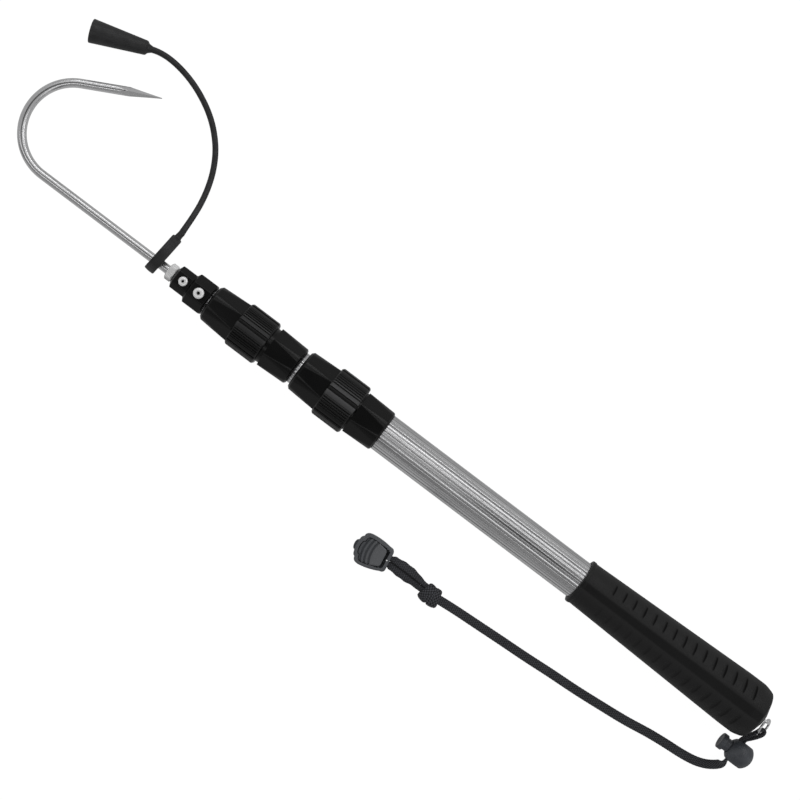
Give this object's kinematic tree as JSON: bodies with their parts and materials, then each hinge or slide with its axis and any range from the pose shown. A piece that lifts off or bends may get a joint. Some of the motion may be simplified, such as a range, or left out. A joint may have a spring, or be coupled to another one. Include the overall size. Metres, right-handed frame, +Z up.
{
  "type": "telescopic fishing gaff",
  "caption": "Telescopic gaff: fluted pole with two twist locks, rubber grip, ground steel hook, tip guard on a strap and a wrist lanyard with a cord lock and clip.",
  "frame": {"origin": "middle of the flat land under the butt of the grip, on the surface that the gaff lies on", "axes": "+X along the pole from the grip to the hook, +Z up; the hook's point is on the -Y side and the lanyard on the +Y side"},
  "size_m": [0.6151, 0.1858, 0.0368],
  "materials": {
    "fluted_aluminium": "satin anodised, lengthwise flutes",
    "grip_rubber": "matte moulded rubber",
    "gloss_collar": "glossy black moulding",
    "guard_rubber": "satin black rubber",
    "stainless": "polished stainless steel",
    "screw_steel": "zinc-plated steel",
    "dark_moulding": "dark grey moulded plastic",
    "braid": "flat woven cord, charcoal",
    "inner_nylon": "natural nylon"
  },
  "bodies": {
    "grip_section": {"outer_tube": "fluted_aluminium", "handle_grip": "grip_rubber", "butt_plug": "inner_nylon", "butt_eye": "stainless", "outer_lock_body": "gloss_collar", "outer_clamp_ring": "inner_nylon"},
    "outer_lock_nut": {"outer_lock_nut": "gloss_collar"},
    "middle_section": {"middle_tube": "fluted_aluminium", "middle_end_bush": "inner_nylon", "inner_lock_body": "gloss_collar", "inner_clamp_ring": "inner_nylon"},
    "inner_lock_nut": {"inner_lock_nut": "gloss_collar"},
    "inner_section": {"inner_tube": "fluted_aluminium", "inner_end_bush": "inner_nylon", "hook_socket": "gloss_collar", "tube_screw": "screw_steel", "shank_screw": "screw_steel", "hook_jam_nut": "screw_steel", "hook": "stainless"},
    "tip_guard": {"guard_ring": "guard_rubber", "guard_strap": "guard_rubber", "guard_cap": "guard_rubber"},
    "lanyard": {"link_ring": "stainless", "cord_loop": "braid", "cord_lock_body": "dark_moulding", "lanyard_cord": "braid", "lanyard_knot": "braid", "lanyard_eye": "braid", "clip_body": "dark_moulding", "clip_pin": "screw_steel", "clip_rivet": "screw_steel", "cord_lock_spring": "screw_steel", "clip_spring": "screw_steel"},
    "cord_lock_plunger": {"cord_lock_plunger": "dark_moulding"},
    "clip_lever": {"clip_lever": "dark_moulding"}
  },
  "joints": [
    {"name": "outer_lock_turn", "type": "hinge", "parent": "grip_section", "child": "outer_lock_nut", "pos_m": [0.324, 0, 0.0184], "axis": [1, 0, 0], "range_deg": [0, 90]},
    {"name": "middle_slide", "type": "slide", "parent": "grip_section", "child": "middle_section", "axis": [1, 0, 0], "range_m": [0, 0.25]},
    {"name": "inner_lock_turn", "type": "hinge", "parent": "middle_section", "child": "inner_lock_nut", "pos_m": [0.394, 0, 0.0184], "axis": [1, 0, 0], "range_deg": [0, 90]},
    {"name": "inner_slide", "type": "slide", "parent": "middle_section", "child": "inner_section", "axis": [1, 0, 0], "range_m": [0, 0.25]},
    {"name": "guard_swing", "type": "hinge", "parent": "inner_section", "child": "tip_guard", "pos_m": [0.4589, 0, 0.0184], "axis": [1, 0, 0], "continuous": true},
    {"name": "lanyard_swing", "type": "hinge", "parent": "grip_section", "child": "lanyard", "pos_m": [-0.0205, 0, 0.0184], "axis": [0, 0, 1], "range_deg": [0, 30]},
    {"name": "plunger_press", "type": "slide", "parent": "lanyard", "child": "cord_lock_plunger", "axis": [-1, 0, 0], "range_m": [0, 0.002], "stiffness_N_per_m": 500, "springref_m": -0.003, "deforming": ["cord_lock_spring"]},
    {"name": "clip_press", "type": "hinge", "parent": "lanyard", "child": "clip_lever", "pos_m": [0.23854, 0.06519, 0.0053], "axis": [0.1736, -0.9848, 0], "range_deg": [0, 20], "stiffness_Nm_per_rad": 0.03, "springref_deg": -17.19, "deforming": ["clip_spring"]}
  ]
}
